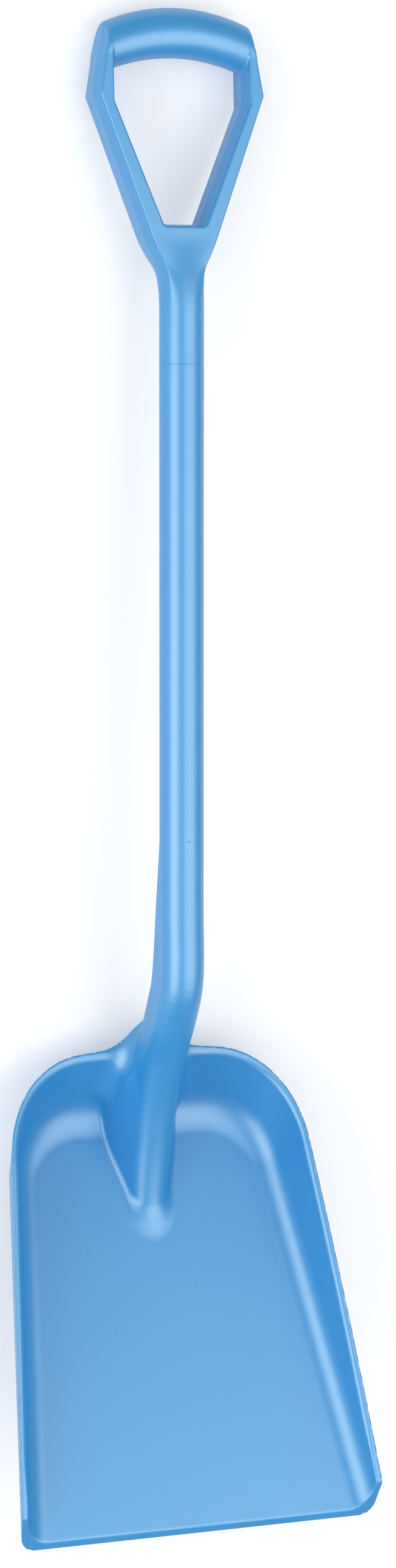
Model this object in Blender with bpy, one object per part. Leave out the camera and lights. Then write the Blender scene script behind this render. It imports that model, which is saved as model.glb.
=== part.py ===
"""Moulded plastic scoop shovel with a D-grip, lying on its back with the scoop open upwards.

The pieces are modelled in the shovel's own frame: X to the right, Y up the shaft towards the grip and
Z out of the open side of the scoop. Y = 0 is the seam where the blade's neck meets the shaft.
One empty carries that frame and lays it on the ground, on the heel of the blade and the back of the grip.
Lengths are metres and angles are degrees.
"""

import math

import bmesh
import bpy
import numpy as np

# Shaft: a round tube that takes a spigot of the blade and one of the grip
SHAFT_DIAMETER = 0.032
SHAFT_WALL = 0.003
SHAFT_LENGTH = 0.341
SPIGOT_LENGTH = 0.045
SPIGOT_CLEARANCE = 0.0004
SEAM_GAP = 0.0003

# Blade pan: U runs from the front edge to the rear along the floor, N stands square to the floor
BLADE_ANGLE = 26.4
BLADE_REACH = 0.495
BLADE_RISE = 0.0385
FLOOR_LENGTH = 0.310
FLOOR_FRONT_WIDTH = 0.263
FLOOR_REAR_WIDTH = 0.192
REAR_CORNER_RADIUS = 0.058
WALL_HEIGHT_FRONT = 0.0175
WALL_HEIGHT_REAR = 0.0505
RIM_BOW = 0.003
RIM_WIDTH = 0.0047
RIM_EDGE = 0.0008
SIDE_LEAN = 13.0
REAR_LEAN = 30.0
FLOOR_THICKNESS = 0.0055
SIDE_FILLET = 0.015
REAR_FILLET = 0.028
FRONT_CUT_ANGLE = 52.0
FRONT_CUT_AHEAD = 0.002
FLANGE_RADIUS = 0.030

# Neck and ridge: where the shaft bends down, dives over the rear wall and plunges into the floor.
# BEHIND and AHEAD are distances along the floor from the rim's rear; OVER is above the rim.
NECK_STRAIGHT = 0.050
NECK_BEND = 0.100
NECK_DEPTH = 0.0155
NECK_TOP_BEHIND = 0.010
NECK_TOP_OVER = 0.0637
NECK_TOP_DEPTH = 0.0065
NECK_TOP_BACK_SHIFT = 0.0124
NECK_DIVE_AHEAD = 0.0177
NECK_DIVE_OVER = 0.0108
NECK_DIVE_DEPTH = 0.007
NECK_DIVE_BACK_SHIFT = 0.007
NECK_FLARE = 0.0003
RIDGE_AHEAD = 0.037
RIDGE_HEIGHT = 0.050
RIDGE_SLOPE = 31.5
RIDGE_WIDTH = 0.037
RIDGE_DRAFT = 0.006
RIDGE_BACK_SHIFT = 0.005
RIDGE_BACK_HEIGHT = 0.013

# D-grip: G runs up the grip from the end of the shaft, in a plane tilted back from the shaft
GRIP_TILT = 3.2
GRIP_SETBACK = 0.0035
GRIP_CORNER_HEIGHT = 0.189
GRIP_WIDTH = 0.123
GRIP_DEPTH = 0.035
ARM_SPREAD = 20.3
ARM_TOE_IN = 10.0
ARM_RIDGE = 0.0018
YOKE_ROUND_LENGTH = 0.039
YOKE_SQUARE_LENGTH = 0.050
WINDOW_BOTTOM_HEIGHT = 0.096
WINDOW_BOTTOM_WIDTH = 0.0315
WINDOW_WIDTH = 0.103
WINDOW_SPREAD = 22.2
WINDOW_CORNER_RADIUS = 0.004
ARM_TOP_BELOW_BAR = 0.010
BAR_DIAMETER = 0.0354
BAR_HEIGHT = 0.234
BAR_ARCH_RADIUS = 0.133

# Finish of the moulded plastic, as linear colour
PLASTIC_COLOUR = (0.050, 0.310, 0.720, 1.0)
PLASTIC_ROUGHNESS = 0.42

# How finely curves are divided
OUTLINE_STEP = 0.008
ARC_STEP = 4.5
ROUND_SIDES = 32
NECK_STEPS = 4
PLUNGE_SHARES = (0.35, 0.65, 0.85, 0.97)
CUT_MARGIN = 0.006

# The pan is drawn on past its front edge, with a plain rounded end there, and then cut
FRONT_SPARE = 0.045
SPARE_ROUND = 0.024
SPARE_CORNER_RADIUS = 0.014

SHAFT_RADIUS = SHAFT_DIAMETER / 2
BORE_RADIUS = SHAFT_RADIUS - SHAFT_WALL
BAR_RADIUS = BAR_DIAMETER / 2
HALF_DEPTH = GRIP_DEPTH / 2
RIM_LENGTH = FLOOR_LENGTH + WALL_HEIGHT_REAR * math.tan(math.radians(REAR_LEAN))


def clear_scene():
    for item in list(bpy.data.objects):
        bpy.data.objects.remove(item, do_unlink=True)


def new_collection(name):
    collection = bpy.data.collections.new(name)
    bpy.context.scene.collection.children.link(collection)
    return collection


def plastic_material(name):
    material = bpy.data.materials.new(name)
    material.use_nodes = True
    shader = material.node_tree.nodes["Principled BSDF"]
    shader.inputs["Base Color"].default_value = PLASTIC_COLOUR
    shader.inputs["Roughness"].default_value = PLASTIC_ROUGHNESS
    shader.inputs["Metallic"].default_value = 0.0
    return material


def add_mesh(name, shape, collection, frame):
    """Make an object of a finished bmesh, in the shovel's frame."""
    bmesh.ops.recalc_face_normals(shape, faces=shape.faces)
    mesh = bpy.data.meshes.new(name)
    shape.to_mesh(mesh)
    shape.free()
    mesh.shade_smooth()
    mesh.set_sharp_from_angle(angle=math.radians(30))
    item = bpy.data.objects.new(name, mesh)
    item.parent = frame
    collection.objects.link(item)
    return item


def add_tool(name, shape, collection, frame):
    """A hidden solid that cuts or joins another one."""
    item = add_mesh(name, shape, collection, frame)
    item.hide_render = True
    item.display_type = 'WIRE'
    return item


def combine(item, tool, operation):
    modifier = item.modifiers.new(tool.name, 'BOOLEAN')
    modifier.object = tool
    modifier.operation = operation
    modifier.solver = 'EXACT'


def loft(rings):
    """Quads between closed rings of equal length, with a flat face on each end."""
    shape = bmesh.new()
    rows = [[shape.verts.new(point) for point in ring] for ring in rings]
    for low, high in zip(rows, rows[1:]):
        for i, corner in enumerate(low):
            j = (i + 1) % len(low)
            shape.faces.new((corner, low[j], high[j], high[i]))
    shape.faces.new(rows[0])
    shape.faces.new(rows[-1])
    return shape


def cylinder_along_y(radius, low, high):
    """A closed round bar on the shaft's axis."""
    angles = np.linspace(0.0, 2 * math.pi, ROUND_SIDES, endpoint=False)
    circle = [(radius * math.cos(a), radius * math.sin(a)) for a in angles]
    return loft([[(x, y, z) for x, z in circle] for y in (low, high)])


def round_corners(corners, radii, step=math.inf):
    """A closed outline whose corners are arcs, with the straight runs cut into steps of this length."""
    arcs = []
    count = len(corners)
    for i in range(count):
        corner = np.array(corners[i])
        before = np.array(corners[i - 1]) - corner
        after = np.array(corners[(i + 1) % count]) - corner
        before = before / np.linalg.norm(before)
        after = after / np.linalg.norm(after)
        half = math.acos(float(np.clip(before @ after, -1.0, 1.0))) / 2
        centre = corner + (before + after) / np.linalg.norm(before + after) * radii[i] / math.sin(half)
        turn = math.pi - 2 * half
        steps = max(2, round(math.degrees(turn) / ARC_STEP))
        start = corner + before * radii[i] / math.tan(half) - centre
        side = math.copysign(1.0, before[0] * after[1] - before[1] * after[0])
        arc = []
        for k in range(steps + 1):
            angle = -side * turn * k / steps
            spin = np.array([[math.cos(angle), -math.sin(angle)], [math.sin(angle), math.cos(angle)]])
            arc.append(centre + spin @ start)
        arcs.append(arc)
    outline = []
    for i, arc in enumerate(arcs):
        outline.extend(arc)
        goal = arcs[(i + 1) % count][0]
        pieces = max(1, math.ceil(np.linalg.norm(goal - arc[-1]) / step))
        outline.extend(arc[-1] + (goal - arc[-1]) * k / pieces for k in range(1, pieces))
    return outline


def outward_normals(outline):
    """Unit normals of an outline that runs anticlockwise, averaged over the two sides of each point."""
    points = np.array(outline)
    along = np.roll(points, -1, axis=0) - np.roll(points, 1, axis=0)
    normals = np.stack([along[:, 1], -along[:, 0]], axis=1)
    return normals / np.linalg.norm(normals, axis=1, keepdims=True)


def blade_point(x, u, n):
    """A point of the blade, from the floor's own coordinates to the shovel's frame."""
    tilt = math.radians(BLADE_ANGLE)
    y = -BLADE_REACH + u * math.cos(tilt) + n * math.sin(tilt)
    z = BLADE_RISE - u * math.sin(tilt) + n * math.cos(tilt)
    return x, y, z


def grip_point(x, g, z, share=1.0):
    """A point of the grip, from its set-back tilted plane (share 1) or the shaft's own axis (share 0)."""
    lean = math.radians(GRIP_TILT * share)
    y = SHAFT_LENGTH + g * math.cos(lean) + z * math.sin(lean)
    return x, y, z * math.cos(lean) - g * math.sin(lean) - GRIP_SETBACK * share


def wall_height(x, u):
    """Height of the rim above the floor: it rises to the rear, and sweeps up to the neck there."""
    share = u / FLOOR_LENGTH
    height = WALL_HEIGHT_FRONT + (WALL_HEIGHT_REAR - WALL_HEIGHT_FRONT) * share
    height += RIM_BOW * 4 * share * (1 - share)
    inside = FLANGE_RADIUS - (abs(x) - SHAFT_RADIUS)
    if u > FLOOR_LENGTH / 2 and inside > 0:
        inside = min(inside, FLANGE_RADIUS)
        height += FLANGE_RADIUS - math.sqrt(FLANGE_RADIUS ** 2 - inside ** 2)
    return height


def fillet_arc(corner_out, corner_up, radius, lean):
    """Points from the flat to the leaning wall, round a fillet between the two."""
    reach = radius * math.tan((math.pi / 2 - lean) / 2)
    angles = np.linspace(0.0, math.pi / 2 - lean, 6)
    centre_out = corner_out - reach
    centre_up = corner_up + radius
    return [(centre_out + radius * math.sin(a), centre_up - radius * math.cos(a)) for a in angles]


def wall_profile(height, rearward):
    """Section of a wall from the floor's top, over the rim, to the floor's underside."""
    lean = math.radians(SIDE_LEAN + (REAR_LEAN - SIDE_LEAN) * rearward)
    fillet = SIDE_FILLET + (REAR_FILLET - SIDE_FILLET) * rearward
    slope = math.tan(lean)
    inner = height * slope
    outer = inner + RIM_WIDTH
    rim = [(inner - RIM_EDGE * slope, height - RIM_EDGE), (inner + RIM_EDGE, height),
           (outer - RIM_EDGE, height), (outer - RIM_EDGE * slope, height - RIM_EDGE)]
    under = fillet_arc(RIM_WIDTH - FLOOR_THICKNESS * slope, -FLOOR_THICKNESS, fillet + RIM_WIDTH, lean)
    return fillet_arc(0.0, 0.0, fillet, lean) + rim + under[::-1]


def spare_profile():
    """Section of the pan's spare front end, with the same points as a wall: a plain plate."""
    top = [(out, 0.0) for out in np.linspace(-FLOOR_THICKNESS, 0.0, 6)]
    tip = [(FLOOR_THICKNESS / 5, -FLOOR_THICKNESS * share) for share in (0.2, 0.4, 0.6, 0.8)]
    under = [(out, -FLOOR_THICKNESS) for out in np.linspace(0.0, -FLOOR_THICKNESS, 6)]
    return top + tip + under


def pan_shape():
    """The scoop: a flat floor with one wall round both sides and the rear, run on past its front edge."""
    rear = FLOOR_REAR_WIDTH / 2
    front = FLOOR_FRONT_WIDTH / 2
    front += (front - rear) * FRONT_SPARE / FLOOR_LENGTH
    corners = [(-front, -FRONT_SPARE), (front, -FRONT_SPARE), (rear, FLOOR_LENGTH), (-rear, FLOOR_LENGTH)]
    radii = [SPARE_CORNER_RADIUS, SPARE_CORNER_RADIUS, REAR_CORNER_RADIUS, REAR_CORNER_RADIUS]
    outline = round_corners(corners, radii, OUTLINE_STEP)
    spare = np.array(spare_profile())
    sections = []
    for (x, u), normal in zip(outline, outward_normals(outline)):
        rise = 1 - min(max((u + FRONT_SPARE) / SPARE_ROUND, 0.0), 1.0)
        share = math.sqrt(1 - rise ** 2)
        wall = np.array(wall_profile(wall_height(x, u), max(normal[1], 0.0) ** 2))
        section = share * wall + (1 - share) * spare
        sections.append([blade_point(x + out * normal[0], u + out * normal[1], up) for out, up in section])
    return loft([list(ring) for ring in zip(*sections)])


def front_cut_shape():
    """A block that cuts the pan off along the sloping face of its front edge."""
    slope = math.tan(math.radians(FRONT_CUT_ANGLE))
    low = -2 * FLOOR_THICKNESS
    high = 2 * WALL_HEIGHT_FRONT
    ahead = -FRONT_SPARE - SPARE_ROUND
    corners = [(ahead, low), (low / slope - FRONT_CUT_AHEAD, low),
               (high / slope - FRONT_CUT_AHEAD, high), (ahead, high)]
    reach = FLOOR_FRONT_WIDTH
    return loft([[blade_point(x, u, n) for u, n in corners] for x in (-reach, reach)])


def smooth_through(rows, steps):
    """Rows of values on a smooth curve through the given rows (Catmull-Rom)."""
    rows = np.array(rows)
    padded = np.vstack([2 * rows[0] - rows[1], rows, 2 * rows[-1] - rows[-2]])
    result = []
    for i in range(1, len(padded) - 2):
        before, start, end, after = padded[i - 1:i + 3]
        for t in np.arange(steps) / steps:
            result.append(0.5 * (2 * start + (end - before) * t
                                 + (2 * before - 5 * start + 4 * end - after) * t ** 2
                                 + (3 * start - before - 3 * end + after) * t ** 3))
    result.append(rows[-1])
    return result


def neck_stations():
    """Stations of the neck: front and back centres, then half width and rise in front and behind."""
    radius = SHAFT_RADIUS
    half = RIDGE_WIDTH / 2
    rim = WALL_HEIGHT_REAR

    def station(front, back, width, rise, foot, depth):
        return [front[0], front[1], back[0], back[1], width, rise, foot, depth]

    def on_blade(u, n):
        return blade_point(0.0, RIM_LENGTH + u, n)[1:]

    def straight(y, depth):
        return station((y, 0.0), (y, -depth), radius, radius, radius, radius)

    def plunge(share):
        crest = RIDGE_HEIGHT * (1 - share)
        centre = max(crest - half, 0.0)
        rise = crest - centre
        width = math.sqrt(half ** 2 - (half - rise) ** 2)
        u = -RIDGE_AHEAD - RIDGE_HEIGHT * share / math.tan(math.radians(RIDGE_SLOPE))
        sunk = FLOOR_THICKNESS / 3
        return station(on_blade(u, centre), on_blade(u, -sunk), width, rise, width + RIDGE_DRAFT, sunk)

    top = radius + NECK_FLARE
    dive = radius + 3 * NECK_FLARE
    return [
        straight(0.0, 0.0),
        straight(-NECK_STRAIGHT, NECK_DEPTH / 2),
        straight(-NECK_BEND, NECK_DEPTH),
        station(on_blade(NECK_TOP_BEHIND, rim + NECK_TOP_OVER),
                on_blade(NECK_TOP_BEHIND + NECK_TOP_BACK_SHIFT, rim + NECK_TOP_OVER - NECK_TOP_DEPTH),
                top, top, top, radius),
        station(on_blade(-NECK_DIVE_AHEAD, rim + NECK_DIVE_OVER),
                on_blade(NECK_DIVE_BACK_SHIFT - NECK_DIVE_AHEAD, rim + NECK_DIVE_OVER - NECK_DIVE_DEPTH),
                dive, dive, dive, radius),
        station(on_blade(-RIDGE_AHEAD, RIDGE_HEIGHT - half),
                on_blade(-RIDGE_AHEAD - RIDGE_BACK_SHIFT, RIDGE_BACK_HEIGHT),
                half, half, half + RIDGE_DRAFT, RIDGE_BACK_HEIGHT),
    ] + [plunge(share) for share in PLUNGE_SHARES]


def neck_ring(station, count=12):
    """A section of the neck: round front, straight sides and a round or flat back."""
    front = np.array(station[0:2])
    back = np.array(station[2:4])
    width, rise, foot, depth = station[4:8]
    across = front - back
    span = np.linalg.norm(across)
    up = across / span if span > 1e-6 else np.array([0.0, 1.0])
    ring = []
    for angle in np.linspace(0.0, math.pi, count + 1):
        y, z = front + up * rise * math.sin(angle)
        ring.append((width * math.cos(angle), y, z))
    for angle in np.linspace(math.pi, 2 * math.pi, count + 1)[1:-1]:
        y, z = back + up * depth * math.sin(angle)
        ring.append((foot * math.cos(angle), y, z))
    return ring


def neck_shape():
    """The bent neck, which ends as a ridge that plunges into the floor."""
    return loft([neck_ring(station) for station in smooth_through(neck_stations(), NECK_STEPS)])


def arm_half_width(g):
    """Half the grip's width across its front face, at a height up the grip."""
    if g > GRIP_CORNER_HEIGHT:
        return GRIP_WIDTH / 2 - (g - GRIP_CORNER_HEIGHT) * math.tan(math.radians(ARM_TOE_IN))
    spread = GRIP_WIDTH / 2 - (GRIP_CORNER_HEIGHT - g) * math.tan(math.radians(ARM_SPREAD))
    return max(SHAFT_RADIUS, spread)


def grip_section(half_width, half_depth, ridge, squareness):
    """A section across the grip: from round to a flat-faced one with a ridge along each side."""
    eighth = ROUND_SIDES // 8
    corners = [(half_width, -half_depth), (half_width + ridge, 0.0), (half_width, half_depth),
               (-half_width, half_depth), (-half_width - ridge, 0.0), (-half_width, -half_depth)]
    runs = (eighth, eighth, 2 * eighth, eighth, eighth, 2 * eighth)
    flat = []
    for i, steps in enumerate(runs):
        start = np.array(corners[i])
        end = np.array(corners[(i + 1) % len(corners)])
        flat.extend(start + (end - start) * k / steps for k in range(steps))
    section = []
    for j, point in enumerate(flat):
        angle = 2 * math.pi * j / ROUND_SIDES - math.pi / 4
        curve = np.array([half_width * math.cos(angle), half_depth * math.sin(angle)])
        section.append(squareness * point + (1 - squareness) * curve)
    return section


def bar_drop(x):
    """How far the arched bar lies below its middle, at a distance from it."""
    return BAR_ARCH_RADIUS - math.sqrt(BAR_ARCH_RADIUS ** 2 - x ** 2)


def yoke_shape():
    """The fork of the grip: round at the shaft, then flat-faced arms that spread and toe in."""
    top = BAR_HEIGHT - bar_drop((WINDOW_WIDTH + GRIP_WIDTH) / 4) - ARM_TOP_BELOW_BAR
    heights = [0.0, YOKE_ROUND_LENGTH / 2]
    heights += [YOKE_ROUND_LENGTH + YOKE_SQUARE_LENGTH * k / 6 for k in range(7)]
    heights += [GRIP_CORNER_HEIGHT, top]
    rings = []
    for g in heights:
        share = min(max((g - YOKE_ROUND_LENGTH) / YOKE_SQUARE_LENGTH, 0.0), 1.0)
        share = share * share * (3 - 2 * share)
        depth = SHAFT_RADIUS + (HALF_DEPTH - SHAFT_RADIUS) * share
        section = grip_section(arm_half_width(g), depth, ARM_RIDGE * share, share)
        rings.append([grip_point(x, g, z, share) for x, z in section])
    return loft(rings)


def window_shape():
    """The hand opening of the grip, narrowest at mid depth and open past the tops of the arms."""
    top = BAR_HEIGHT + BAR_RADIUS
    spread = math.tan(math.radians(WINDOW_SPREAD))
    depth = HALF_DEPTH + CUT_MARGIN
    rings = []
    for z in (-depth, 0.0, depth):
        grow = ARM_RIDGE * (abs(z) / HALF_DEPTH - 1)
        low = WINDOW_BOTTOM_WIDTH / 2 + grow
        wide = WINDOW_WIDTH / 2 + grow
        bottom = WINDOW_BOTTOM_HEIGHT - grow
        knee = bottom + (wide - low) / spread
        corners = [(-low, bottom), (low, bottom), (wide, knee), (wide, top), (-wide, top), (-wide, knee)]
        outline = round_corners(corners, [WINDOW_CORNER_RADIUS] * len(corners))
        rings.append([grip_point(x, g, z) for x, g in outline])
    return loft(rings)


def bar_shape(radius):
    """The arched hand bar, run on past the outer faces of the arms."""
    reach = GRIP_WIDTH / 2 + CUT_MARGIN
    rings = []
    for x in np.linspace(-reach, reach, 17):
        centre = BAR_HEIGHT - bar_drop(x)
        ring = []
        for angle in np.linspace(0.0, 2 * math.pi, ROUND_SIDES, endpoint=False):
            ring.append(grip_point(x, centre + radius * math.cos(angle), radius * math.sin(angle)))
        rings.append(ring)
    return loft(rings)


def bar_trim_shape():
    """A block between the outer faces of the arms, which trims the ends of the bar."""
    depth = BAR_RADIUS + CUT_MARGIN
    sink = ARM_RIDGE * (depth / HALF_DEPTH - 1)
    ridge = ARM_RIDGE * depth / HALF_DEPTH
    rings = []
    for g in (GRIP_CORNER_HEIGHT, BAR_HEIGHT + BAR_RADIUS + CUT_MARGIN):
        section = grip_section(arm_half_width(g) - sink, depth, ridge, 1.0)
        rings.append([grip_point(x, g, z) for x, z in section])
    return loft(rings)


def make_shaft(parts, tools, frame):
    tube = add_mesh("shaft_tube", cylinder_along_y(SHAFT_RADIUS, SEAM_GAP, SHAFT_LENGTH - SEAM_GAP),
                    parts, frame)
    bore = add_tool("shaft_bore", cylinder_along_y(BORE_RADIUS, -CUT_MARGIN, SHAFT_LENGTH + CUT_MARGIN),
                    tools, frame)
    combine(tube, bore, 'DIFFERENCE')
    return tube


def make_blade(parts, tools, frame):
    blade = add_mesh("blade", pan_shape(), parts, frame)
    neck = add_tool("blade_neck", neck_shape(), tools, frame)
    spigot = add_tool("blade_spigot", cylinder_along_y(BORE_RADIUS - SPIGOT_CLEARANCE,
                                                       -CUT_MARGIN, SPIGOT_LENGTH), tools, frame)
    front_cut = add_tool("blade_front_cut", front_cut_shape(), tools, frame)
    combine(blade, front_cut, 'DIFFERENCE')
    combine(blade, neck, 'UNION')
    combine(blade, spigot, 'UNION')
    return blade


def make_yoke(parts, tools, frame):
    yoke = add_mesh("grip_yoke", yoke_shape(), parts, frame)
    window = add_tool("grip_window", window_shape(), tools, frame)
    saddle = add_tool("bar_saddle", bar_shape(BAR_RADIUS + SEAM_GAP), tools, frame)
    spigot = add_tool("grip_spigot", cylinder_along_y(BORE_RADIUS - SPIGOT_CLEARANCE,
                                                      SHAFT_LENGTH - SPIGOT_LENGTH,
                                                      SHAFT_LENGTH + CUT_MARGIN), tools, frame)
    combine(yoke, window, 'DIFFERENCE')
    combine(yoke, saddle, 'DIFFERENCE')
    combine(yoke, spigot, 'UNION')
    return yoke


def make_bar(parts, tools, frame):
    bar = add_mesh("hand_bar", bar_shape(BAR_RADIUS), parts, frame)
    trim = add_tool("bar_trim", bar_trim_shape(), tools, frame)
    combine(bar, trim, 'INTERSECT')
    return bar


def finished_points(item):
    """The finished corners of a piece in the shovel's frame."""
    graph = bpy.context.evaluated_depsgraph_get()
    evaluated = item.evaluated_get(graph)
    mesh = evaluated.to_mesh()
    points = np.array([vertex.co[:] for vertex in mesh.vertices])
    evaluated.to_mesh_clear()
    return points


def lay_down(frame, blade, grip):
    """Lay the shovel on its heel and the back of its grip, centred over the origin."""
    bpy.context.view_layer.update()
    heel_side = np.vstack([finished_points(item) for item in blade])
    grip_side = np.vstack([finished_points(item) for item in grip])

    def lowest(points, angle):
        return (points[:, 1] * math.sin(angle) + points[:, 2] * math.cos(angle)).min()

    low, high = math.radians(-30), math.radians(30)
    for _ in range(60):
        middle = (low + high) / 2
        if lowest(grip_side, middle) < lowest(heel_side, middle):
            low = middle
        else:
            high = middle
    tilt = (low + high) / 2
    points = np.vstack([heel_side, grip_side])
    along = points[:, 1] * math.cos(tilt) - points[:, 2] * math.sin(tilt)
    frame.rotation_euler = (tilt, 0.0, 0.0)
    frame.location = (0.0, -(along.min() + along.max()) / 2, -lowest(points, tilt))
    bpy.context.view_layer.update()


def build():
    clear_scene()
    parts = new_collection("scoop_shovel")
    tools = new_collection("cutters")
    frame = bpy.data.objects.new("shovel_frame", None)
    parts.objects.link(frame)
    shaft = make_shaft(parts, tools, frame)
    blade = make_blade(parts, tools, frame)
    yoke = make_yoke(parts, tools, frame)
    bar = make_bar(parts, tools, frame)
    for item in (shaft, blade, yoke, bar):
        item.data.materials.append(plastic_material(item.name + "_plastic"))
    lay_down(frame, [blade], [yoke, bar])


build()
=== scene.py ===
import math

import bpy
import numpy as np
from mathutils import Matrix


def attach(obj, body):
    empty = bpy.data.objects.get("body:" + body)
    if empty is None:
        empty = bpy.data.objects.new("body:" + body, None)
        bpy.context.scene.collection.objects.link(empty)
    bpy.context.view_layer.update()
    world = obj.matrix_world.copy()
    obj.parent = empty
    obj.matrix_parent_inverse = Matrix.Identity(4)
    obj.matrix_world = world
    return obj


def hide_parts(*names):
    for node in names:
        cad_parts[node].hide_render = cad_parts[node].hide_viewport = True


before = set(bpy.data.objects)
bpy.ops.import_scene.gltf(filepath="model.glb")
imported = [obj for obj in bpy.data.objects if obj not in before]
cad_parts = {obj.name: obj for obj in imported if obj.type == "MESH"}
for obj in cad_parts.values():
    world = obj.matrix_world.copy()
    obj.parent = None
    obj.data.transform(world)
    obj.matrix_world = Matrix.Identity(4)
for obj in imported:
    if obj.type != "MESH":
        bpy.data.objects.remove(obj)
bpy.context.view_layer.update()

# Everything is modelled in the shovel's own frame: X right, Y up the shaft, Z out of the open scoop.
# Y = 0 is the seam between the blade's neck and the shaft. Lengths are metres and angles are degrees.

# Shaft: hairline seams at its ends and the slight waviness of a moulded surface
SHAFT_RADIUS = 0.016
SHAFT_BORE_RADIUS = 0.013
SHAFT_LENGTH = 0.341
SHAFT_WAVE = 0.00003
SHAFT_WAVE_FAST = 61.0
SHAFT_WAVE_SLOW = 23.0
SEAM_HALF = 0.00002
SEAM_ROUND = 0.00008
SEAM_SHOULDER = 0.0004

# Blade pan: U runs from the front edge to the rear along the floor, N stands square to the floor
BLADE_ANGLE = 26.4
BLADE_REACH = 0.495
BLADE_RISE = 0.0385
FLOOR_LENGTH = 0.310
FLOOR_FRONT_HALF = 0.1315
FLOOR_REAR_HALF = 0.096
FLOOR_THICKNESS = 0.0055
REAR_CORNER_RADIUS = 0.054
SIDE_LEAN = 13.0
SIDE_FILLET = 0.020
SIDE_OUTER_ROUND = 0.012
REAR_LEAN = 30.0
REAR_FILLET = 0.033
REAR_OUTER_ROUND = 0.038
FRONT_CUT_ANGLE = 52.0
FRONT_CUT_AHEAD = 0.002
FRONT_CORNER_ROUND = 0.004

# Rim: its inner edge turns from RIM_ROUND to RIM_INNER_ROUND over a range of U
WALL_HEIGHT_FRONT = 0.0175
WALL_HEIGHT_REAR = 0.0505
RIM_BOW = 0.003
RIM_WIDTH = 0.0050
RIM_ROUND = 0.0011
RIM_INNER_ROUND = 0.0036
RIM_INNER_RANGE = (0.020, 0.060)
RIM_LENGTH = FLOOR_LENGTH + WALL_HEIGHT_REAR * math.tan(math.radians(REAR_LEAN))

# Flange: the rear rim sweeps up and out to the neck on an arc, which stops short of upright
FLANGE_START = 0.056
FLANGE_LENGTH = 0.050
FLANGE_STOP = 0.98
FLANGE_RISE = 0.010
FLANGE_SPREAD = 0.008
FLANGE_DEPTH = 0.025

# Neck: BEHIND and AHEAD are distances along the floor from the rim's rear, OVER is above the rim
NECK_ABOVE_SEAM = 0.030
NECK_STRAIGHT = 0.050
NECK_BEND = 0.100
NECK_DEPTH = 0.0155
NECK_TOP_BEHIND = 0.010
NECK_TOP_OVER = 0.0637
NECK_TOP_DEPTH = 0.0065
NECK_TOP_BACK_SHIFT = 0.0124
NECK_DIVE_AHEAD = 0.0177
NECK_DIVE_OVER = 0.0108
NECK_DIVE_DEPTH = 0.007
NECK_DIVE_BACK_SHIFT = 0.007
NECK_STEPS = 8
# The neck's last two stations lie inside the ridge: U from the rim's rear and N, of the front and of the back
NECK_SUNK = (-0.038, 0.023, -0.028, 0.010)
NECK_END = (-0.050, 0.000, -0.040, -0.010)

# Ridge: REAR, FRONT and BOTTOM bound its side view inside the neck, past the toe and under the floor
RIDGE_AHEAD = 0.037
RIDGE_HEIGHT = 0.047
RIDGE_SLOPE = 31.5
RIDGE_HALF = 0.016
RIDGE_DRAFT = 25.0
RIDGE_BEND = 0.040
RIDGE_REAR = -0.010
RIDGE_FRONT = -0.170
RIDGE_BOTTOM = -0.060
FLANK_DEPTH = 0.018
FLANK_EASE = 0.012

# Fillets of the neck and ridge, and where each comes in: behind the toe, over the floor or over the rim
TOE_FILLET = 0.008
FOOT_FILLET = 0.005
FOOT_BEHIND_TOE = (-0.002, 0.028)
WALL_FILLET = 0.018
WALL_BEHIND_TOE = (0.035, 0.080)
WALL_OVER_FLOOR = (0.000, 0.024)
FLANGE_FILLET = 0.018
FLANGE_OVER_RIM = (-0.006, 0.010)
DRAFT_END_OVER_RIM = 0.030

# Where the neck is looked for, and how it is let out of the pan's outer body above the rim
NECK_SEARCH_ACROSS = 0.070
NECK_SEARCH_AHEAD = 0.030
NECK_FREEDOM = 0.08
NECK_FREE_OVER_RIM = (0.004, 0.045)

# D-grip: G runs up the grip from the end of the shaft, in a plane tilted back from the shaft
GRIP_TILT = 3.2
GRIP_SETBACK = 0.0035
GRIP_CORNER_HEIGHT = 0.189
GRIP_HALF = 0.0615
GRIP_HALF_DEPTH = 0.0175
ARM_SPREAD = 20.3
ARM_TOE_IN = 10.0
ARM_RIDGE = 0.0024
ARM_RIDGE_AHEAD = 0.0045
ARM_RIDGE_ROUND = 0.0004
ARM_ROUND = 0.0013
ARM_KNEE_ROUND = 0.005
CROTCH_ROUND = 0.030
YOKE_ROUND_LENGTH = 0.039
YOKE_SQUARE_LENGTH = 0.051
WINDOW_BOTTOM_HEIGHT = 0.096
WINDOW_BOTTOM_HALF = 0.01575
WINDOW_HALF = 0.0515
WINDOW_SPREAD = 22.2
WINDOW_CORNER_RADIUS = 0.004
BAR_RADIUS = 0.0177
BAR_HEIGHT = 0.234
BAR_ARCH_RADIUS = 0.133
BAR_CREASE = 0.0012

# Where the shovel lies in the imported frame: turned about X, then moved
LAY_TILT = -4.718727
LAY_MOVE = (0.0, -0.0453033, 0.0814481)

# How finely the visual meshes are cut, and the boxes that hold the blade (X, U, N) and the grip (X, Y, Z)
BLADE_STEP = 0.0014
BLADE_LOW = (0.0, -0.0110, -0.0080)
BLADE_HIGH = (0.1450, 0.4790, 0.2080)
GRIP_STEP = 0.0010
GRIP_LOW = (0.0, SHAFT_LENGTH - 0.004, -0.050)
GRIP_HIGH = (0.0680, SHAFT_LENGTH + 0.258, 0.022)
SHAFT_SIDES = 96
SHAFT_RINGS = 61
SHAFT_SHARP_ANGLE = 40.0
FIRST_SETTLING = 2
RELAX_ROUNDS = 2
LATER_SETTLING = 3
SLOPE_REACH = 0.00015
NORMAL_REACH = 0.0003
LEAST_SLOPE_SQUARE = 0.05
SNAP_STEPS = 0.75
TINY = 1e-9


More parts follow.
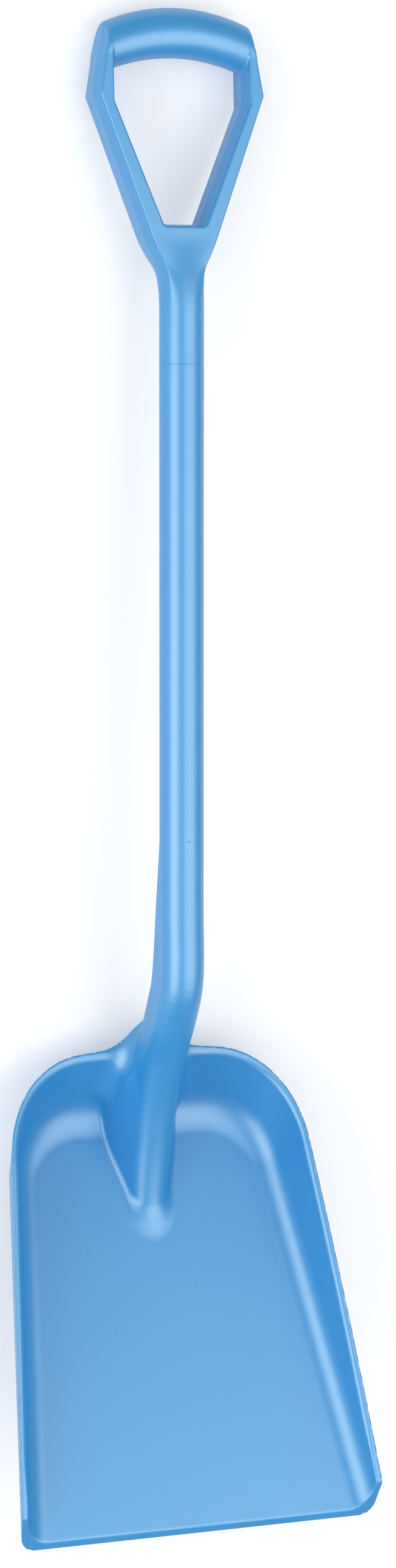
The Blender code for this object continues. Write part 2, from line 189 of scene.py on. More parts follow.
def round_common(a, b, radius, toward=0.0):
    """What lies in both shapes, its edge rounded; toward is the cosine between the two faces' normals."""
    grown_a = a + radius
    grown_b = b + radius
    square = 1.0 - toward * toward
    along_a = grown_a - grown_b * toward
    along_b = grown_b - grown_a * toward
    corner = (along_a > 0) & (along_b > 0)
    reach = np.sqrt(np.maximum(grown_a ** 2 + grown_b ** 2 - 2 * grown_a * grown_b * toward, 0.0) / square)
    return np.where(corner, reach - radius, np.maximum(a, b))


def round_join(a, b, radius, toward=0.0):
    """Both shapes as one, with a fillet where they meet."""
    return -round_common(-a, -b, radius, toward)


def smooth_least(a, b, width):
    """The lesser of two values, eased over the given difference."""
    share = np.maximum(width - np.abs(a - b), 0.0) / width
    return np.minimum(a, b) - share * share * width / 4


def ease(value, low, high):
    """Smooth rise from 0 at low to 1 at high."""
    share = np.clip((value - low) / (high - low), 0.0, 1.0)
    return share * share * (3 - 2 * share)


def between(start, end, share):
    """The value at a share of the way from start to end."""
    return start + (end - start) * share


def from_blade(u, n):
    """Y and Z in the shovel's frame of floor coordinates U and N."""
    tilt = math.radians(BLADE_ANGLE)
    y = -BLADE_REACH + u * math.cos(tilt) + n * math.sin(tilt)
    z = BLADE_RISE - u * math.sin(tilt) + n * math.cos(tilt)
    return y, z


def floor_outline(x, u):
    """Distance from the floor's sides and rear (inside is negative) and the outward direction there."""
    taper = math.atan((FLOOR_FRONT_HALF - FLOOR_REAR_HALF) / FLOOR_LENGTH)
    lean_x = math.cos(taper)
    lean_u = math.sin(taper)
    side = (x - FLOOR_FRONT_HALF) * lean_x + u * lean_u
    rear = u - FLOOR_LENGTH
    square = 1 - lean_u ** 2
    grown_side = side + REAR_CORNER_RADIUS
    grown_rear = rear + REAR_CORNER_RADIUS
    along_side = (grown_side - grown_rear * lean_u) / square
    along_rear = (grown_rear - grown_side * lean_u) / square
    corner = (along_side > 0) & (along_rear > 0)
    reach_x = along_side * lean_x
    reach_u = along_side * lean_u + along_rear
    reach = np.maximum(np.hypot(reach_x, reach_u), TINY)
    at_side = side > rear
    distance = np.where(corner, reach - REAR_CORNER_RADIUS, np.maximum(side, rear))
    out_x = np.where(corner, reach_x / reach, np.where(at_side, lean_x, 0.0))
    out_u = np.where(corner, reach_u / reach, np.where(at_side, lean_u, 1.0))
    return distance, out_x, out_u


def near_neck(x, u):
    """How far a place on the rear wall is into the flange, which runs up to the neck."""
    inside = np.clip((FLANGE_START - x) / FLANGE_LENGTH, 0.0, FLANGE_STOP)
    return np.where(u > FLOOR_LENGTH / 2, inside, 0.0)


def rim_field(x, u, n):
    """Height over the rim, which rises to the rear and sweeps up to the neck there."""
    share = np.clip(u / FLOOR_LENGTH, 0.0, 1.0)
    height = between(WALL_HEIGHT_FRONT, WALL_HEIGHT_REAR, share)
    height = height + RIM_BOW * 4 * share * (1 - share)
    inside = near_neck(x, u)
    drop = np.sqrt(1 - inside ** 2)
    slope = FLANGE_RISE / FLANGE_LENGTH * inside / drop
    return (n - height - FLANGE_RISE * (1 - drop)) / np.sqrt(1 + slope ** 2)


def pan_fields(x, u, n):
    """Fields of the pan, without its neck, and of its outer body alone, as if the scoop were filled."""
    outside, out_x, out_u = floor_outline(x, u)
    rearward = np.maximum(out_u, 0.0) ** 2
    lean = np.radians(between(SIDE_LEAN, REAR_LEAN, rearward))
    sine = np.sin(lean)
    cosine = np.cos(lean)
    leaning = outside * cosine - n * sine
    inner = round_join(n, -leaning, between(SIDE_FILLET, REAR_FILLET, rearward), sine)
    web = ease(n, WALL_HEIGHT_REAR - FLANGE_DEPTH, WALL_HEIGHT_REAR)
    width = RIM_WIDTH + FLANGE_SPREAD * near_neck(x, u) ** 2 * web
    outer_round = between(SIDE_OUTER_ROUND, REAR_OUTER_ROUND, rearward)
    body = round_common(-FLOOR_THICKNESS - n, leaning - width * cosine, outer_round, sine)
    rim = rim_field(x - outside * out_x, u - outside * out_u, n)
    slope = math.radians(FRONT_CUT_ANGLE)
    front = n * math.cos(slope) - (u + FRONT_CUT_AHEAD) * math.sin(slope)
    edge = round_common(rim, front, FRONT_CORNER_ROUND, math.cos(slope))
    inner_round = between(RIM_ROUND, RIM_INNER_ROUND, ease(u, *RIM_INNER_RANGE))
    return round_common(round_common(inner, edge, inner_round), body, RIM_ROUND), body


def smooth_through(rows, steps):
    """Rows of values on a smooth curve through the given rows (Catmull-Rom)."""
    rows = np.array(rows)
    padded = np.vstack([2 * rows[0] - rows[1], rows, 2 * rows[-1] - rows[-2]])
    result = []
    for i in range(1, len(padded) - 2):
        before, start, end, after = padded[i - 1:i + 3]
        for t in np.arange(steps) / steps:
            result.append(0.5 * (2 * start + (end - before) * t
                                 + (2 * before - 5 * start + 4 * end - after) * t ** 2
                                 + (3 * start - before - 3 * end + after) * t ** 3))
    result.append(rows[-1])
    return np.array(result)


def neck_stations():
    """Front centre, back centre and half width of the neck, from above the seam down into the floor."""
    rim = WALL_HEIGHT_REAR

    def on_blade(front_u, front_n, back_u, back_n, half):
        return [*from_blade(RIM_LENGTH + front_u, front_n), *from_blade(RIM_LENGTH + back_u, back_n), half]

    def straight(y, depth):
        return [y, 0.0, y, -depth, SHAFT_RADIUS]

    return smooth_through([
        straight(NECK_ABOVE_SEAM, 0.0),
        straight(0.0, 0.0),
        straight(-NECK_STRAIGHT, NECK_DEPTH / 2),
        straight(-NECK_BEND, NECK_DEPTH),
        on_blade(NECK_TOP_BEHIND, rim + NECK_TOP_OVER, NECK_TOP_BEHIND + NECK_TOP_BACK_SHIFT,
                 rim + NECK_TOP_OVER - NECK_TOP_DEPTH, SHAFT_RADIUS),
        on_blade(-NECK_DIVE_AHEAD, rim + NECK_DIVE_OVER, NECK_DIVE_BACK_SHIFT - NECK_DIVE_AHEAD,
                 rim + NECK_DIVE_OVER - NECK_DIVE_DEPTH, SHAFT_RADIUS),
        on_blade(*NECK_SUNK, RIDGE_HALF),
        on_blade(*NECK_END, RIDGE_HALF),
    ], NECK_STEPS)


def ridge_corners():
    """The ridge in the side view: the centre line of its round crest, and its foot under the floor."""
    slope = math.radians(RIDGE_SLOPE)
    corners = []
    for u in (RIDGE_REAR, RIDGE_FRONT):
        crest = RIDGE_HEIGHT + (u + RIDGE_AHEAD) * math.tan(slope)
        corners.append(from_blade(RIM_LENGTH + u, crest - RIDGE_HALF / math.cos(slope)))
    for u in (RIDGE_FRONT, RIDGE_REAR):
        corners.append(from_blade(RIM_LENGTH + u, RIDGE_BOTTOM))
    return np.array(corners)


def figure_distance(corners, y, z):
    """Distance from a closed figure in the side view, negative inside it."""
    distance = np.full(y.shape, np.inf)
    inside = np.zeros(y.shape, bool)
    for (y0, z0), (y1, z1) in zip(corners, np.roll(corners, -1, axis=0)):
        dy = y1 - y0
        dz = z1 - z0
        length = math.hypot(dy, dz)
        if length < TINY:
            continue
        share = np.clip(((y - y0) * dy + (z - z0) * dz) / length ** 2, 0.0, 1.0)
        distance = np.minimum(distance, np.hypot(y - y0 - share * dy, z - z0 - share * dz))
        if dz != 0:
            crosses = (z0 > z) != (z1 > z)
            inside ^= crosses & (y < y0 + (z - z0) * dy / dz)
    return np.where(inside, -distance, distance)


class NeckSide:
    """The side view of the neck and ridge, worked out once on a fine grid and read back smoothly."""
    STEP = 0.0008
    LOW = np.array([-0.345, -0.160])
    HIGH = np.array([0.030, 0.045])
    # How many cells reading stays away from the table's far edges, a hair over one
    MARGIN = 1.001

    def __init__(self):
        stations = neck_stations()
        order = np.argsort(stations[:, 0])
        self.heights = stations[order, 0]
        self.halves = stations[order, 4]
        counts = np.ceil((self.HIGH - self.LOW) / self.STEP).astype(int) + 1
        y = self.LOW[0] + self.STEP * np.arange(counts[0])[:, None] + np.zeros((1, counts[1]))
        z = self.LOW[1] + self.STEP * np.arange(counts[1])[None, :] + np.zeros((counts[0], 1))
        corners = np.vstack([stations[:, 0:2], stations[::-1, 2:4]])
        neck = figure_distance(corners, y, z) - self.half_width(y)
        ridge = figure_distance(ridge_corners(), y, z) - RIDGE_HALF
        self.outline = smooth_least(neck, ridge, RIDGE_BEND)

    def half_width(self, y):
        """Half the neck's width at places along the shaft."""
        return np.interp(y, self.heights, self.halves)

    def above_centre(self, y, z, half):
        """Height over the centre line of the round front, negative between it and the back."""
        table = self.outline
        row = np.clip((y - self.LOW[0]) / self.STEP, 0.0, table.shape[0] - self.MARGIN)
        column = np.clip((z - self.LOW[1]) / self.STEP, 0.0, table.shape[1] - self.MARGIN)
        i = row.astype(int)
        j = column.astype(int)
        row = row - i
        column = column - j
        low = table[i, j] * (1 - column) + table[i, j + 1] * column
        high = table[i + 1, j] * (1 - column) + table[i + 1, j + 1] * column
        return low * (1 - row) + high * row + half


def neck_field(neck_side, x, y, z, n):
    """Field of the neck and the ridge: a round front with flanks that draft out towards the floor."""
    half = neck_side.half_width(y)
    above = neck_side.above_centre(y, z, half)
    above = -smooth_least(-above, FLANK_DEPTH, FLANK_EASE)
    upright = ease(n, RIDGE_HEIGHT, WALL_HEIGHT_REAR + DRAFT_END_OVER_RIM)
    draft = np.radians(RIDGE_DRAFT) * (1 - upright)
    sine = np.sin(draft)
    cosine = np.cos(draft)
    at_front = above * cosine > x * sine
    return np.where(at_front, np.hypot(x, above), x * cosine + above * sine) - half


def neck_fillet(behind_toe, n):
    """Radius of the fillet between the pan and the neck or ridge."""
    over_rim = n - WALL_HEIGHT_REAR
    fillet = between(TOE_FILLET, FOOT_FILLET, ease(behind_toe, *FOOT_BEHIND_TOE))
    fillet = between(fillet, WALL_FILLET, ease(n, *WALL_OVER_FLOOR) * ease(behind_toe, *WALL_BEHIND_TOE))
    return between(fillet, FLANGE_FILLET, ease(over_rim, *FLANGE_OVER_RIM))


def blade_field(neck_side):
    """Field of the whole blade in its floor coordinates, negative inside."""
    toe_u = RIM_LENGTH - RIDGE_AHEAD - RIDGE_HEIGHT / math.tan(math.radians(RIDGE_SLOPE))

    def field(x, u, n):
        across = np.abs(x)
        pan, body = pan_fields(across, u, n)
        near = (across < NECK_SEARCH_ACROSS) & (u > toe_u - NECK_SEARCH_AHEAD)
        if not near.any():
            return pan
        near_u = u[near]
        near_n = n[near]
        y, z = from_blade(near_u, near_n)
        neck = neck_field(neck_side, across[near], y, z, near_n)
        joined = round_join(pan[near], neck, neck_fillet(near_u - toe_u, near_n))
        freed = NECK_FREEDOM * ease(near_n - WALL_HEIGHT_REAR, *NECK_FREE_OVER_RIM)
        joined = np.maximum(joined, body[near] - freed)
        result = pan.copy()
        result[near] = np.maximum(joined, y + SEAM_HALF)
        return result

    return field


def arm_outline(across, g):
    """Fields of the yoke's flaring sides and of the arms' outer sides, which turn in above the knee."""
    spread = math.radians(ARM_SPREAD)
    toe_in = math.radians(ARM_TOE_IN)
    flare = (across - GRIP_HALF - (g - GRIP_CORNER_HEIGHT) * math.tan(spread)) * math.cos(spread)
    inturn = (across - GRIP_HALF + (g - GRIP_CORNER_HEIGHT) * math.tan(toe_in)) * math.cos(toe_in)
    lower = round_join(flare, across - SHAFT_RADIUS, CROTCH_ROUND, math.cos(spread))
    return lower, round_common(lower, inturn, ARM_KNEE_ROUND, math.cos(spread + toe_in))


def hand_window(across, g):
    """Field of the hand opening, which has a straight bottom and goes on up past the bar."""
    spread = math.radians(WINDOW_SPREAD)
    flank = (across - WINDOW_BOTTOM_HALF - (g - WINDOW_BOTTOM_HEIGHT) * math.tan(spread)) * math.cos(spread)
    window = round_common(flank, across - WINDOW_HALF, WINDOW_CORNER_RADIUS, math.cos(spread))
    return round_common(window, WINDOW_BOTTOM_HEIGHT - g, WINDOW_CORNER_RADIUS, math.sin(spread))


def grip_field(x, y, z):
    """Field of the whole grip in the shovel's frame, negative inside."""
    across = np.abs(x)
    height = y - SHAFT_LENGTH
    share = ease(height, YOKE_ROUND_LENGTH, YOKE_ROUND_LENGTH + YOKE_SQUARE_LENGTH)
    lean = np.radians(GRIP_TILT) * share
    back = z + GRIP_SETBACK * share
    g = height * np.cos(lean) - back * np.sin(lean)
    w = height * np.sin(lean) + back * np.cos(lean)
    ahead = w - ARM_RIDGE_AHEAD
    to_face = GRIP_HALF_DEPTH - np.sign(ahead) * ARM_RIDGE_AHEAD
    ridge = ARM_RIDGE * (1 - np.sqrt(ahead * ahead + ARM_RIDGE_ROUND ** 2) / to_face)
    lower, outer = arm_outline(across, g)
    outer = outer - ridge * share
    depth = between(SHAFT_RADIUS, GRIP_HALF_DEPTH, share)
    plate = round_common(outer, np.abs(w) - depth, ARM_ROUND)
    half = np.maximum(across - lower, SHAFT_RADIUS)
    tube = (np.hypot(across / half, w / depth) - 1) * SHAFT_RADIUS
    stalk = tube * (1 - share) + plate * share
    fork = round_common(stalk, -hand_window(across, g) - ridge, ARM_ROUND)
    centre = BAR_HEIGHT - BAR_ARCH_RADIUS + np.sqrt(BAR_ARCH_RADIUS ** 2 - across ** 2)
    fork = np.maximum(fork, g - centre)
    bar = round_common(np.hypot(g - centre, w) - BAR_RADIUS, outer, ARM_ROUND)
    grip = round_join(fork, bar, BAR_CREASE)
    return np.maximum(grip, SHAFT_LENGTH + SEAM_HALF - y)


def surface_net(field, low, high, step):
    """Points and quads of a field's surface, from a grid that is symmetric about X = 0."""
    half = int(math.ceil(high[0] / step))
    xs = (np.arange(half) + 0.5) * step
    ys = np.arange(low[1], high[1] + step, step)
    zs = np.arange(low[2], high[2] + step, step)
    y, z = np.meshgrid(ys, zs, indexing="ij")
    right = np.stack([field(np.full(y.shape, x), y, z).astype(np.float32) for x in xs])
    values = np.concatenate([right[::-1], right])
    xs = np.concatenate([-xs[::-1], xs])
    solid = values < 0
    count = np.zeros(tuple(s - 1 for s in solid.shape), np.uint8)
    shifts = [(i, j, k) for i in (0, 1) for j in (0, 1) for k in (0, 1)]
    sizes = count.shape
    for i, j, k in shifts:
        count += solid[i:i + sizes[0], j:j + sizes[1], k:k + sizes[2]]
    cells = np.argwhere((count > 0) & (count < len(shifts)))
    total = np.zeros((len(cells), 3))
    hits = np.zeros(len(cells))
    for corner in shifts:
        for axis in range(3):
            if corner[axis]:
                continue
            start = cells + corner
            end = start.copy()
            end[:, axis] += 1
            first = values[tuple(start.T)]
            last = values[tuple(end.T)]
            cut = (first < 0) != (last < 0)
            share = np.where(cut, first / np.where(cut, first - last, 1.0), 0.0)
            place = np.array(corner) + np.zeros((len(cells), 3))
            place[:, axis] += share
            total += place * cut[:, None]
            hits += cut
    points = np.array([xs[0], ys[0], zs[0]]) + (cells + total / hits[:, None]) * step
    number = np.full(sizes, -1, np.int32)
    number[tuple(cells.T)] = np.arange(len(cells))
    quads = []
    for axis in range(3):
        one = (axis + 1) % 3
        two = (axis + 2) % 3
        before = [slice(None)] * 3
        after = [slice(None)] * 3
        before[axis] = slice(0, -1)
        after[axis] = slice(1, None)
        flips = np.argwhere(solid[tuple(before)] != solid[tuple(after)])
        starts = solid[tuple(before)][tuple(flips.T)]
        ring = []
        for a, b in ((-1, -1), (0, -1), (0, 0), (-1, 0)):
            cell = flips.copy()
            cell[:, one] += a
            cell[:, two] += b
            ring.append(number[tuple(cell.T)])
        faces = np.stack(ring, axis=1)
        quads.append(np.where(starts[:, None], faces, faces[:, ::-1]))
    return points, np.vstack(quads)


def gradient(field, points, reach):
    """Slope of a field at points, from its values a little ahead and behind."""
    columns = []
    for axis in range(3):
        ahead = points.copy()
        behind = points.copy()
        ahead[:, axis] += reach
        behind[:, axis] -= reach
        columns.append((field(*ahead.T) - field(*behind.T)) / (2 * reach))
    return np.stack(columns, axis=1)


def settle(field, points, step, rounds):
    """Move points onto the field's surface."""
    for _ in range(rounds):
        slope = gradient(field, points, SLOPE_REACH)
        square = np.maximum((slope ** 2).sum(axis=1), LEAST_SLOPE_SQUARE)
        move = field(*points.T) / square
        points = points - slope * np.clip(move, -step, step)[:, None]
    return points


def relax(points, quads):
    """Each point moves halfway to the middle of its neighbours."""
    total = np.zeros_like(points)
    hits = np.zeros(len(points))
    for a, b in ((0, 1), (1, 2), (2, 3), (3, 0)):
        for i, j in ((a, b), (b, a)):
            np.add.at(total, quads[:, i], points[quads[:, j]])
            np.add.at(hits, quads[:, i], 1.0)
    return (points + total / hits[:, None]) / 2


def field_mesh(field, low, high, step):
    """Points, quads and normals of a field's surface, spread evenly over it."""
    points, quads = surface_net(field, low, high, step)
    points = settle(field, points, step, FIRST_SETTLING)
    for _ in range(RELAX_ROUNDS):
        points = settle(field, relax(points, quads), step, LATER_SETTLING)
    normals = gradient(field, points, NORMAL_REACH)
    normals = normals / np.maximum(np.linalg.norm(normals, axis=1, keepdims=True), TINY)
    return points, quads, normals


def lay(points, turn_only=False):
    """Points or directions of the shovel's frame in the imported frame."""
    tilt = math.radians(LAY_TILT)
    turn = np.array([[1, 0, 0],
                     [0, math.cos(tilt), -math.sin(tilt)],
                     [0, math.sin(tilt), math.cos(tilt)]])
    turned = np.asarray(points) @ turn.T
    return turned if turn_only else turned + np.array(LAY_MOVE)


def add_piece(name, points, faces, normals=None):
    """A smooth-shaded object from points and normals in the shovel's frame."""
    mesh = bpy.data.meshes.new(name)
    mesh.from_pydata(lay(points).tolist(), [], [list(map(int, face)) for face in faces])
    mesh.validate()
    mesh.update()
    mesh.shade_smooth()
    if normals is not None:
        mesh.normals_split_custom_set_from_vertices(lay(normals, True).tolist())
    item = bpy.data.objects.new(name, mesh)
    bpy.context.scene.collection.objects.link(item)
    return item


def snap_end(points, normals, level, step):
    """Put the points near the end of a round stub exactly on the edge of its flat end."""
    radius = np.hypot(points[:, 0], points[:, 2])
    close = SNAP_STEPS * step
    near = (np.abs(points[:, 1] - level) < close) & (radius > SHAFT_RADIUS - close)
    points[near, 0] *= SHAFT_RADIUS / radius[near]
    points[near, 2] *= SHAFT_RADIUS / radius[near]
    points[near, 1] = level
    normals[near] = points[near] * np.array((1.0, 0.0, 1.0)) / SHAFT_RADIUS
    return points, normals


def make_blade():
    """The blade with its neck and ridge, cut in floor coordinates and turned into the shovel's frame."""
    points, quads, normals = field_mesh(blade_field(NeckSide()), BLADE_LOW, BLADE_HIGH, BLADE_STEP)
    y, z = from_blade(points[:, 1], points[:, 2])
    turn_y, turn_z = from_blade(normals[:, 1], normals[:, 2])
    base_y, base_z = from_blade(0.0, 0.0)
    placed = np.stack([points[:, 0], y, z], axis=1)
    turned = np.stack([normals[:, 0], turn_y - base_y, turn_z - base_z], axis=1)
    placed, turned = snap_end(placed, turned, -SEAM_HALF, BLADE_STEP)
    return add_piece("blade_moulding", placed, quads, turned)


def make_grip():
    """The yoke with its arms and the hand bar, as one moulding."""
    points, quads, normals = field_mesh(grip_field, GRIP_LOW, GRIP_HIGH, GRIP_STEP)
    points, normals = snap_end(points, normals, SHAFT_LENGTH + SEAM_HALF, GRIP_STEP)
    return add_piece("grip_moulding", points, quads, normals)


def make_shaft():
    """A turned tube with eased ends and the slight waviness of a moulded surface."""
    low = SEAM_HALF
    high = SHAFT_LENGTH - SEAM_HALF
    eased = [(SEAM_ROUND * (1 - math.cos(a)), SEAM_ROUND * (1 - math.sin(a)))
             for a in np.radians((0, 30, 60, 90))]
    profile = [(low + along, SHAFT_RADIUS - inset) for along, inset in eased]
    for y in np.linspace(low + SEAM_ROUND + SEAM_SHOULDER, high - SEAM_ROUND - SEAM_SHOULDER, SHAFT_RINGS):
        wave = SHAFT_WAVE * math.sin(y * SHAFT_WAVE_FAST) * math.sin(y * SHAFT_WAVE_SLOW)
        profile.append((y, SHAFT_RADIUS + wave))
    profile += [(high - along, SHAFT_RADIUS - inset) for along, inset in eased[::-1]]
    profile += [(high, SHAFT_BORE_RADIUS), (low, SHAFT_BORE_RADIUS)]
    sides = SHAFT_SIDES
    angles = 2 * math.pi * np.arange(sides) / sides
    rings = []
    for y, radius in profile:
        rings.append(np.stack([radius * np.sin(angles), np.full(sides, y), radius * np.cos(angles)], axis=1))
    faces = []
    for i in range(len(rings)):
        j = (i + 1) % len(rings)
        for k in range(sides):
            m = (k + 1) % sides
            faces.append((i * sides + k, j * sides + k, j * sides + m, i * sides + m))
    item = add_piece("shaft_moulding", np.vstack(rings), faces)
    item.data.set_sharp_from_angle(angle=math.radians(SHAFT_SHARP_ANGLE))
    return item


blade = make_blade()
grip = make_grip()
shaft = make_shaft()


# Material: colours are linear, and scales are repeats in a metre

BLUE = (0.026, 0.290, 0.665, 1.0)
BLUE_DEEP = (0.021, 0.270, 0.642, 1.0)
SPECK_BLUE = (0.012, 0.090, 0.260, 1.0)
GLOSS_TINT = (0.95, 1.0, 0.72, 1.0)
ROUGHNESS_LOW = 0.33
ROUGHNESS_HIGH = 0.41
CLOUD_SCALE = 9.0
CLOUD_DETAIL = 3.0
SWELL_SCALE = 60.0
SWELL_STRENGTH = 0.06
SWELL_HEIGHT = 0.0010
GRAIN_SCALE = 1100.0
GRAIN_STRENGTH = 0.10
GRAIN_HEIGHT = 0.0002
FINE_DETAIL = 2.0
SPECK_SCALE = 110.0
SPECK_CORE = 0.030
SPECK_EDGE = 0.045
SPECK_STRENGTH = 0.7
SEED_SHIFT = (0.37, 0.11, 0.23)


def set_inputs(node, values):
    """Give a node's inputs, named or numbered, their values."""
    for name, value in values.items():
        node.inputs[name].default_value = value


def new_node(tree, kind, values=None, **settings):
    """A new shader node with its settings and the values of its inputs."""
    node = tree.nodes.new(kind)
    for name, setting in settings.items():
        setattr(node, name, setting)
    set_inputs(node, values or {})
    return node


def plastic(name, seed):
    """Satin moulded plastic: cloudy colour, a fine grain, sparse specks and a soft gloss."""
    material = bpy.data.materials.new(name)
    material.use_nodes = True
    tree = material.node_tree
    link = tree.links.new
    shader = tree.nodes["Principled BSDF"]
    set_inputs(shader, {"Metallic": 0.0, "IOR": 1.5, "Specular IOR Level": 1.0, "Specular Tint": GLOSS_TINT})
    place = new_node(tree, "ShaderNodeTexCoord")
    shift = new_node(tree, "ShaderNodeMapping", {"Location": [part * seed for part in SEED_SHIFT]})
    link(place.outputs["Object"], shift.inputs["Vector"])

    def noise(scale, detail):
        node = new_node(tree, "ShaderNodeTexNoise", {"Scale": scale, "Detail": detail})
        link(shift.outputs["Vector"], node.inputs["Vector"])
        return node.outputs["Fac"]

    def bump(height, strength, distance):
        node = new_node(tree, "ShaderNodeBump", {"Strength": strength, "Distance": distance})
        link(height, node.inputs["Height"])
        return node

    colour = new_node(tree, "ShaderNodeMix", {"A": BLUE_DEEP, "B": BLUE}, data_type='RGBA')
    link(noise(CLOUD_SCALE, CLOUD_DETAIL), colour.inputs["Factor"])
    cells = new_node(tree, "ShaderNodeTexVoronoi", {"Scale": SPECK_SCALE})
    link(shift.outputs["Vector"], cells.inputs["Vector"])
    dots = new_node(tree, "ShaderNodeMapRange", {"From Min": SPECK_CORE, "From Max": SPECK_EDGE,
                                                 "To Min": SPECK_STRENGTH, "To Max": 0.0})
    link(cells.outputs["Distance"], dots.inputs["Value"])
    specked = new_node(tree, "ShaderNodeMix", {"B": SPECK_BLUE}, data_type='RGBA')
    link(dots.outputs["Result"], specked.inputs["Factor"])
    link(colour.outputs["Result"], specked.inputs["A"])
    link(specked.outputs["Result"], shader.inputs["Base Color"])
    swell = noise(SWELL_SCALE, FINE_DETAIL)
    gloss = new_node(tree, "ShaderNodeMapRange", {"To Min": ROUGHNESS_LOW, "To Max": ROUGHNESS_HIGH})
    link(swell, gloss.inputs["Value"])
    link(gloss.outputs["Result"], shader.inputs["Roughness"])
    fine = bump(noise(GRAIN_SCALE, FINE_DETAIL), GRAIN_STRENGTH, GRAIN_HEIGHT)
    broad = bump(swell, SWELL_STRENGTH, SWELL_HEIGHT)
    link(fine.outputs["Normal"], broad.inputs["Normal"])
    link(broad.outputs["Normal"], shader.inputs["Normal"])
    return material


for piece, seed in ((blade, 1), (grip, 2), (shaft, 3)):
    piece.data.materials.append(plastic(piece.name + "_plastic", seed))

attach(blade, "root")
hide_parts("blade")
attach(grip, "root")
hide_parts("grip_yoke", "hand_bar")
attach(shaft, "root")
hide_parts("shaft_tube")


# Camera: the photograph's view, found from the shaft, the blade's edges and the grip. Pixels count from the
# picture's middle, right and down; the anchor is a point of the shaft's axis.

FOCAL_PIXELS = 6500.0
IMAGE_HEIGHT = 2576.0
SENSOR = 36.0
CAMERA_REACH = 50.0
RIGHT_VANISHING = (17274.5, -648.0)
AXIS_PIXEL_X = -27.0
ANCHOR_PIXEL_Y = -388.0
ANCHOR_HEIGHT = 0.210
SHAFT_PIXELS = 73.3


def unit(vector):
    """A vector's direction."""
    vector = np.asarray(vector, float)
    return vector / np.linalg.norm(vector)


def pose_matrix(axes, place):
    """World matrix of a camera or lamp, from its three axes and its place."""
    pose = Matrix.Identity(4)
    for row in range(3):
        for column in range(3):
            pose[row][column] = axes[column][row]
        pose[row][3] = place[row]
    return pose


def camera_axes():
    """The shovel's right, down-shaft and away directions and the anchor, in camera coordinates."""
    right = unit((*RIGHT_VANISHING, FOCAL_PIXELS))
    down = unit(np.cross((FOCAL_PIXELS, 0.0, -AXIS_PIXEL_X), right))
    down = down * math.copysign(1.0, down[1])
    away = np.cross(right, down)
    distance = 2 * SHAFT_RADIUS * FOCAL_PIXELS / SHAFT_PIXELS
    return right, down, away, distance * unit((AXIS_PIXEL_X, ANCHOR_PIXEL_Y, FOCAL_PIXELS))


def make_camera():
    """The scene's camera; its own axes run right, up and back."""
    right, down, away, anchor = camera_axes()
    eye = np.array((-anchor @ right, ANCHOR_HEIGHT + anchor @ down, anchor @ away))
    axes = np.array([[right[0], -down[0], -away[0]],
                     [-right[1], down[1], away[1]],
                     [-right[2], down[2], away[2]]])
    data = bpy.data.cameras.new("camera")
    data.sensor_fit = 'AUTO'
    data.sensor_width = SENSOR
    data.lens = FOCAL_PIXELS / IMAGE_HEIGHT * SENSOR
    data.clip_end = CAMERA_REACH
    camera = bpy.data.objects.new("camera", data)
    camera.matrix_world = pose_matrix(lay(axes, True), lay(eye))
    bpy.context.scene.collection.objects.link(camera)
    bpy.context.scene.camera = camera


# Floor, light and world: the floor and the world look white, and the world gives glossy rays less light

FLOOR_HALF = 6.0
FLOOR_COLOUR = (0.80, 0.80, 0.80, 1.0)
FLOOR_ROUGHNESS = 0.9
FLOOR_SPECULAR = 0.1
FLOOR_GLOW = 0.28
WORLD_LIGHT = 0.80
WORLD_GLOSS_DROP = 0.61
WORLD_SEEN_RISE = 0.20
WHITE = (1.0, 1.0, 1.0, 1.0)

# Panels: name, direction in the shovel's frame, distance, width, height, radiance, gloss alone or fill alone
PANELS = (
    ("gloss_left", (-0.82, -0.14, 0.55), 1.7, 1.30, 1.9, 4.4, True),
    ("gloss_right", (0.37, -0.14, 0.93), 1.64, 1.80, 1.9, 3.4, True),
    ("fill_left", (-0.84, -0.20, 0.505), 4.0, 2.2, 3.4, 2.00, False),
    ("fill_right", (0.31, -0.20, 0.93), 4.0, 2.4, 3.4, 1.10, False),
)


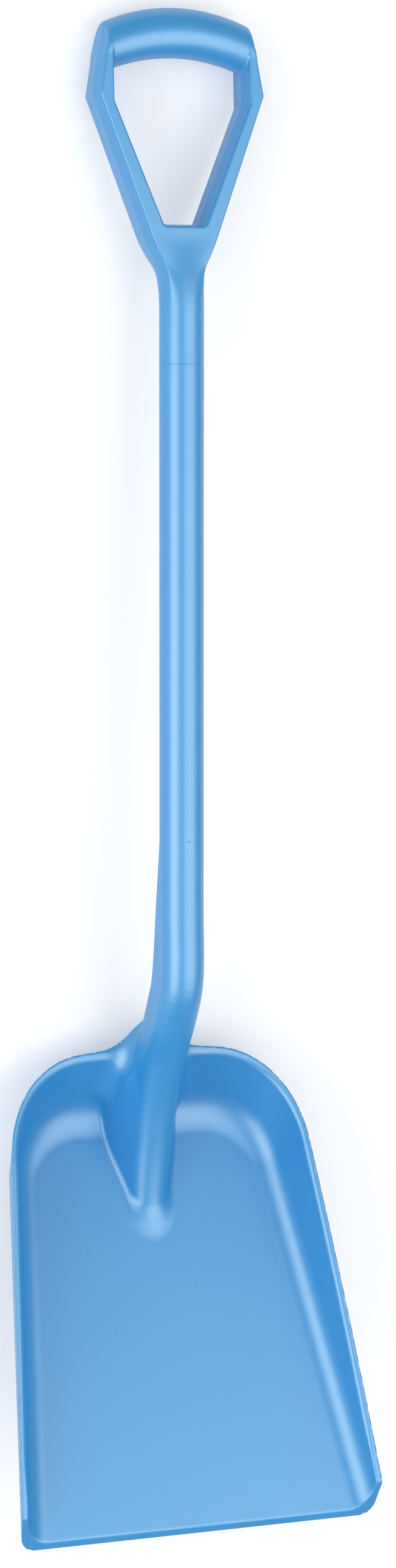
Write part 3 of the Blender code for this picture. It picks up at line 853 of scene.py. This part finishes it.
def add_floor():
    """A wide white floor that keeps its shadows and glows a little for rays that show it."""
    size = FLOOR_HALF
    mesh = bpy.data.meshes.new("floor")
    mesh.from_pydata([(-size, -size, 0.0), (size, -size, 0.0), (size, size, 0.0), (-size, size, 0.0)],
                     [], [(0, 1, 2, 3)])
    floor = bpy.data.objects.new("floor", mesh)
    bpy.context.scene.collection.objects.link(floor)
    material = bpy.data.materials.new("floor_white")
    material.use_nodes = True
    tree = material.node_tree
    link = tree.links.new
    shader = tree.nodes["Principled BSDF"]
    set_inputs(shader, {"Base Color": FLOOR_COLOUR, "Roughness": FLOOR_ROUGHNESS,
                        "Specular IOR Level": FLOOR_SPECULAR, "Emission Color": WHITE})
    path = new_node(tree, "ShaderNodeLightPath")
    seen = new_node(tree, "ShaderNodeMath", operation='MAXIMUM')
    link(path.outputs["Is Camera Ray"], seen.inputs[0])
    link(path.outputs["Is Glossy Ray"], seen.inputs[1])
    either = new_node(tree, "ShaderNodeMath", operation='MAXIMUM')
    link(seen.outputs[0], either.inputs[0])
    link(path.outputs["Is Transmission Ray"], either.inputs[1])
    glow = new_node(tree, "ShaderNodeMath", {1: FLOOR_GLOW}, operation='MULTIPLY')
    link(either.outputs[0], glow.inputs[0])
    link(glow.outputs[0], shader.inputs["Emission Strength"])
    mesh.materials.append(material)


def add_panel(name, toward, distance, width, height, radiance, gloss):
    """A soft panel that faces the shovel and gives either gloss alone or fill light alone."""
    data = bpy.data.lights.new(name, 'AREA')
    data.shape = 'RECTANGLE'
    data.size = width
    data.size_y = height
    data.energy = radiance * math.pi * width * height
    lamp = bpy.data.objects.new(name, data)
    back = unit(lay(unit(toward), True))
    side = unit(np.cross((0.0, 1.0, 0.0), back))
    lamp.matrix_world = pose_matrix((side, np.cross(back, side), back), back * distance)
    lamp.visible_diffuse = not gloss
    lamp.visible_glossy = gloss
    bpy.context.scene.collection.objects.link(lamp)


def add_world():
    """An even white world, dimmer for glossy rays and full white for the camera."""
    world = bpy.data.worlds.new("studio")
    world.use_nodes = True
    tree = world.node_tree
    link = tree.links.new
    background = tree.nodes["Background"]
    set_inputs(background, {"Color": WHITE})
    path = new_node(tree, "ShaderNodeLightPath")
    light = new_node(tree, "ShaderNodeMath", {1: -WORLD_GLOSS_DROP, 2: WORLD_LIGHT}, operation='MULTIPLY_ADD')
    link(path.outputs["Is Glossy Ray"], light.inputs[0])
    seen = new_node(tree, "ShaderNodeMath", {1: WORLD_SEEN_RISE}, operation='MULTIPLY_ADD')
    link(path.outputs["Is Camera Ray"], seen.inputs[0])
    link(light.outputs[0], seen.inputs[2])
    link(seen.outputs[0], background.inputs["Strength"])
    bpy.context.scene.world = world


make_camera()
add_floor()
for panel in PANELS:
    add_panel(*panel)
add_world()
bpy.context.scene.view_settings.view_transform = 'Standard'
